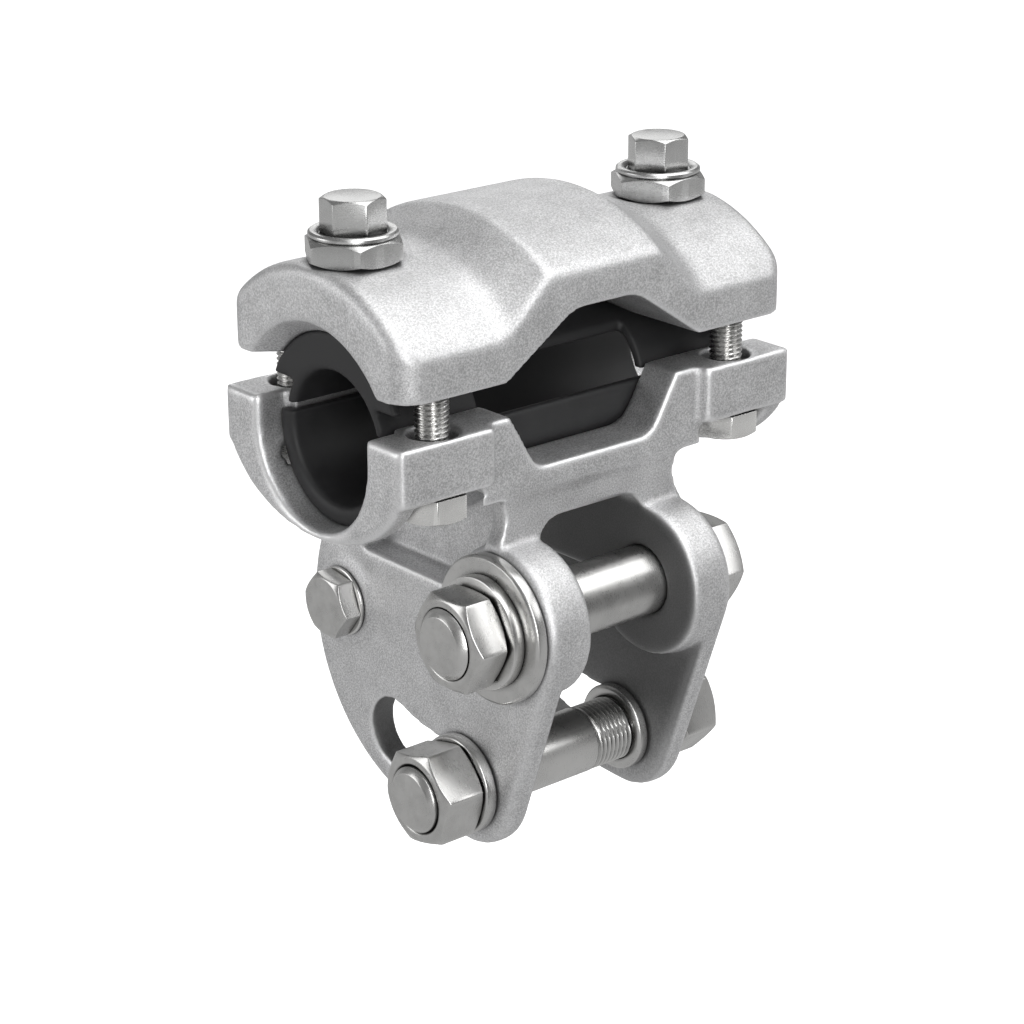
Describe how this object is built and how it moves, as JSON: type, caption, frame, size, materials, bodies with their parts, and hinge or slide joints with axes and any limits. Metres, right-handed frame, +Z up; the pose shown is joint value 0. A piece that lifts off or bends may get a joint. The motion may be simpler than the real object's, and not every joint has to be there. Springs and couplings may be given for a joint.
{
  "type": "trunnion suspension clamp",
  "caption": "Bolted two-part clamp that carries a stranded line on rubber inserts, with a forked yoke, trunnion bolt and slotted plates below.",
  "frame": {"origin": "centre of the line's bore, halfway along it", "axes": "+X along the line, -Y the front, where the trunnion bolt is, +Z up towards the keeper"},
  "size_m": [0.178, 0.1353, 0.2353],
  "materials": {
    "body_casting": "as cast, satin",
    "keeper_casting": "as cast, satin",
    "insert_rubber": "matt black",
    "clamp_bolt_steel": "zinc",
    "screw_steel": "zinc",
    "yoke_bolt_steel": "zinc"
  },
  "bodies": {
    "suspension": {"suspension_body": "body_casting", "lower_insert": "insert_rubber", "clamp_bolt_1": "clamp_bolt_steel", "clamp_bolt_2": "clamp_bolt_steel", "clamp_bolt_3": "clamp_bolt_steel", "clamp_bolt_4": "clamp_bolt_steel", "tie_bolt": "yoke_bolt_steel", "tie_near_washer": "yoke_bolt_steel", "tie_far_washer": "yoke_bolt_steel", "tie_nut": "yoke_bolt_steel"},
    "keeper_set": {"keeper": "keeper_casting", "upper_insert": "insert_rubber", "pressure_screw_1": "screw_steel", "pressure_screw_2": "screw_steel", "lock_nut_1": "screw_steel", "lock_nut_2": "screw_steel"},
    "trunnion_set": {"trunnion_bolt": "yoke_bolt_steel", "trunnion_head_washer": "yoke_bolt_steel", "trunnion_flat_washer": "yoke_bolt_steel", "trunnion_spring_washer": "yoke_bolt_steel", "trunnion_nut": "yoke_bolt_steel"},
    "swing_set": {"swing_stud": "yoke_bolt_steel", "swing_near_nut": "yoke_bolt_steel", "swing_near_washer": "yoke_bolt_steel", "swing_ring_nut": "yoke_bolt_steel", "swing_far_nut": "yoke_bolt_steel", "swing_far_washer": "yoke_bolt_steel"}
  },
  "joints": [
    {"name": "keeper_lift", "type": "slide", "parent": "suspension", "child": "keeper_set", "axis": [0, 0, 1], "range_m": [0, 0.01]},
    {"name": "trunnion_turn", "type": "hinge", "parent": "suspension", "child": "trunnion_set", "pos_m": [0, -0.042, -0.0645], "axis": [1, 0, 0], "continuous": true},
    {"name": "stud_swing", "type": "hinge", "parent": "suspension", "child": "swing_set", "pos_m": [0, -0.011, -0.055], "axis": [1, 0, 0], "range_deg": [0, 32]}
  ]
}
